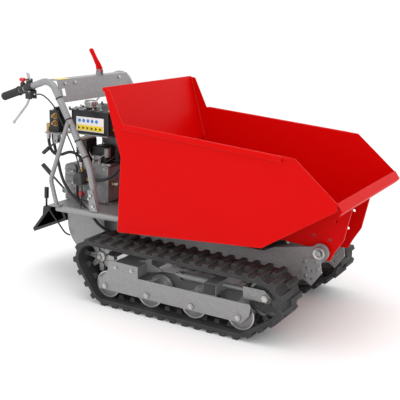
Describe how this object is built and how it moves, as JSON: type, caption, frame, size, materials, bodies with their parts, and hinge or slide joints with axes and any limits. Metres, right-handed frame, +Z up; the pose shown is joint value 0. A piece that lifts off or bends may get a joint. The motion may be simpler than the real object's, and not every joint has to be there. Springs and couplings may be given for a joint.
{
  "type": "tracked power barrow",
  "caption": "Walk-behind tracked power barrow with a hydraulic tipping skip, rubber tracks, rear engine deck and handlebars.",
  "frame": {"origin": "on the ground, at the middle of the machine's length and width", "axes": "+X forward to the tipping end, +Y to the left side, +Z up"},
  "size_m": [1.7059, 0.8, 1.0712],
  "materials": {
    "black_paint": "satin black paint",
    "black_plastic": "textured black plastic",
    "brass": "machined brass",
    "bright_rod": "hard chrome",
    "cast_alloy": "sand-cast aluminium",
    "cast_steel": "painted cast iron",
    "grey_paint": "mid-grey powder coat",
    "grip_rubber": "ribbed black grip",
    "hose_rubber": "smooth black hose rubber",
    "red_paint": "vivid red powder coat",
    "red_plastic": "glossy red plastic",
    "track_rubber": "moulded black rubber, worn",
    "zinc": "zinc plated steel"
  },
  "bodies": {
    "chassis": {"air_cleaner": "black_plastic", "breather_hose": "hose_rubber", "chassis_frame": "grey_paint", "console": "grey_paint", "control_cables": "hose_rubber", "cylinder_head": "cast_alloy", "engine_block": "cast_alloy", "frame_bolts": "zinc", "fuel_tank": "black_plastic", "gearbox_case": "cast_alloy", "grips": "grip_rubber", "guard_plates": "grey_paint", "handle_supports": "grey_paint", "handlebar_left": "grey_paint", "handlebar_right": "grey_paint", "hose_fittings": "brass", "hydraulic_pump": "cast_alloy", "hydraulic_tank": "black_paint", "lever_mounts": "black_plastic", "lift_hose": "hose_rubber", "muffler": "black_paint", "pivot_pins": "zinc", "platform": "grey_paint", "pressure_hose": "hose_rubber", "rear_step": "black_paint", "recoil_starter": "black_paint", "suction_hose": "hose_rubber", "tank_shelf": "grey_paint", "track_axles": "zinc", "track_beam_left": "grey_paint", "track_beam_right": "grey_paint", "track_left": "track_rubber", "track_right": "track_rubber", "track_tensioners": "grey_paint", "valve_block": "black_paint"},
    "skip": {"skip_tub": "red_paint", "skip_subframe": "red_paint"},
    "lift_barrel": {"lift_barrel": "black_paint"},
    "lift_rod": {"lift_rod": "bright_rod"},
    "tip_lever": {"tip_lever": "red_paint"},
    "gear_lever": {"gear_lever": "black_plastic"},
    "range_lever": {"range_lever": "black_plastic"},
    "drive_lever": {"drive_lever": "black_plastic"},
    "throttle_lever": {"throttle_lever": "zinc"},
    "stop_switch": {"stop_switch": "red_plastic"},
    "tank_cap": {"tank_cap": "zinc"},
    "squeeze_lever_left": {"squeeze_lever_left": "zinc"},
    "squeeze_lever_right": {"squeeze_lever_right": "zinc"},
    "idler_left": {"idler_left": "cast_steel"},
    "idler_right": {"idler_right": "cast_steel"},
    "roller_left_1": {"roller_left_1": "cast_steel"},
    "roller_left_2": {"roller_left_2": "cast_steel"},
    "roller_left_3": {"roller_left_3": "cast_steel"},
    "roller_left_4": {"roller_left_4": "cast_steel"},
    "roller_right_1": {"roller_right_1": "cast_steel"},
    "roller_right_2": {"roller_right_2": "cast_steel"},
    "roller_right_3": {"roller_right_3": "cast_steel"},
    "roller_right_4": {"roller_right_4": "cast_steel"},
    "sprocket_left": {"sprocket_left": "cast_steel"},
    "sprocket_right": {"sprocket_right": "cast_steel"}
  },
  "joints": [
    {"name": "skip_tip", "type": "hinge", "parent": "chassis", "child": "skip", "pos_m": [0.689, 0, 0.334], "axis": [0, 1, 0], "range_deg": [0, 80]},
    {"name": "lift_barrel_swing", "type": "hinge", "parent": "chassis", "child": "lift_barrel", "pos_m": [0.04, 0, 0.175], "axis": [0, 1, 0], "range_deg": [-8.28, 0.5]},
    {"name": "lift_rod_slide", "type": "slide", "parent": "lift_barrel", "child": "lift_rod", "axis": [0.9494, 0, 0.3139], "range_m": [0, 0.17506]},
    {"name": "sprocket_right_spin", "type": "hinge", "parent": "chassis", "child": "sprocket_right", "pos_m": [-0.261, -0.31, 0.194], "axis": [0, 1, 0], "continuous": true},
    {"name": "idler_right_spin", "type": "hinge", "parent": "chassis", "child": "idler_right", "pos_m": [0.553, -0.31, 0.176], "axis": [0, 1, 0], "continuous": true},
    {"name": "roller_right_1_spin", "type": "hinge", "parent": "chassis", "child": "roller_right_1", "pos_m": [-0.196, -0.31, 0.0884], "axis": [0, 1, 0], "continuous": true},
    {"name": "roller_right_2_spin", "type": "hinge", "parent": "chassis", "child": "roller_right_2", "pos_m": [0.022, -0.31, 0.0884], "axis": [0, 1, 0], "continuous": true},
    {"name": "roller_right_3_spin", "type": "hinge", "parent": "chassis", "child": "roller_right_3", "pos_m": [0.24, -0.31, 0.0884], "axis": [0, 1, 0], "continuous": true},
    {"name": "roller_right_4_spin", "type": "hinge", "parent": "chassis", "child": "roller_right_4", "pos_m": [0.458, -0.31, 0.0884], "axis": [0, 1, 0], "continuous": true},
    {"name": "sprocket_left_spin", "type": "hinge", "parent": "chassis", "child": "sprocket_left", "pos_m": [-0.261, 0.31, 0.194], "axis": [0, 1, 0], "continuous": true},
    {"name": "idler_left_spin", "type": "hinge", "parent": "chassis", "child": "idler_left", "pos_m": [0.553, 0.31, 0.176], "axis": [0, 1, 0], "continuous": true},
    {"name": "roller_left_1_spin", "type": "hinge", "parent": "chassis", "child": "roller_left_1", "pos_m": [-0.196, 0.31, 0.0884], "axis": [0, 1, 0], "continuous": true},
    {"name": "roller_left_2_spin", "type": "hinge", "parent": "chassis", "child": "roller_left_2", "pos_m": [0.022, 0.31, 0.0884], "axis": [0, 1, 0], "continuous": true},
    {"name": "roller_left_3_spin", "type": "hinge", "parent": "chassis", "child": "roller_left_3", "pos_m": [0.24, 0.31, 0.0884], "axis": [0, 1, 0], "continuous": true},
    {"name": "roller_left_4_spin", "type": "hinge", "parent": "chassis", "child": "roller_left_4", "pos_m": [0.458, 0.31, 0.0884], "axis": [0, 1, 0], "continuous": true},
    {"name": "squeeze_right", "type": "hinge", "parent": "chassis", "child": "squeeze_lever_right", "pos_m": [-0.6843, -0.28, 0.86815], "axis": [0, 1, 0], "range_deg": [0, 20], "stiffness_Nm_per_rad": 2, "springref_deg": -8.59},
    {"name": "squeeze_left", "type": "hinge", "parent": "chassis", "child": "squeeze_lever_left", "pos_m": [-0.6843, 0.28, 0.86815], "axis": [0, 1, 0], "range_deg": [0, 20], "stiffness_Nm_per_rad": 2, "springref_deg": -8.59},
    {"name": "throttle", "type": "hinge", "parent": "chassis", "child": "throttle_lever", "pos_m": [-0.69031, -0.28, 0.93701], "axis": [0, 1, 0], "range_deg": [-15, 30]},
    {"name": "stop_push", "type": "slide", "parent": "chassis", "child": "stop_switch", "axis": [0, 0, -1], "range_m": [0, 0.0025], "stiffness_N_per_m": 400, "springref_m": -0.001},
    {"name": "tip_control", "type": "hinge", "parent": "chassis", "child": "tip_lever", "pos_m": [-0.548, 0.052, 0.966], "axis": [0, 1, 0], "range_deg": [-15, 15], "stiffness_Nm_per_rad": 3},
    {"name": "gear_shift", "type": "hinge", "parent": "chassis", "child": "gear_lever", "pos_m": [-0.626, -0.122, 0.405], "axis": [0, 1, 0], "range_deg": [-12, 12]},
    {"name": "range_shift", "type": "hinge", "parent": "chassis", "child": "range_lever", "pos_m": [-0.724, -0.15, 0.312], "axis": [0, 1, 0], "range_deg": [-15, 15]},
    {"name": "drive_engage", "type": "hinge", "parent": "chassis", "child": "drive_lever", "pos_m": [-0.572, -0.238, 0.668], "axis": [0, 1, 0], "range_deg": [-12, 12]},
    {"name": "cap_turn", "type": "hinge", "parent": "chassis", "child": "tank_cap", "pos_m": [-0.468, -0.118, 0.82], "axis": [0, 0, 1], "range_deg": [0, 90]}
  ],
  "couplings": [
    {"joint": "lift_barrel_swing", "follows": "skip_tip", "ratio": -0.097249},
    {"joint": "lift_rod_slide", "follows": "skip_tip", "m_per_rad": 0.12502},
    {"joint": "idler_right_spin", "follows": "sprocket_right_spin", "ratio": 0.90952},
    {"joint": "roller_right_1_spin", "follows": "sprocket_right_spin", "ratio": 1.1403},
    {"joint": "roller_right_2_spin", "follows": "sprocket_right_spin", "ratio": 1.1403},
    {"joint": "roller_right_3_spin", "follows": "sprocket_right_spin", "ratio": 1.1403},
    {"joint": "roller_right_4_spin", "follows": "sprocket_right_spin", "ratio": 1.1403},
    {"joint": "idler_left_spin", "follows": "sprocket_left_spin", "ratio": 0.90952},
    {"joint": "roller_left_1_spin", "follows": "sprocket_left_spin", "ratio": 1.1403},
    {"joint": "roller_left_2_spin", "follows": "sprocket_left_spin", "ratio": 1.1403},
    {"joint": "roller_left_3_spin", "follows": "sprocket_left_spin", "ratio": 1.1403},
    {"joint": "roller_left_4_spin", "follows": "sprocket_left_spin", "ratio": 1.1403}
  ]
}
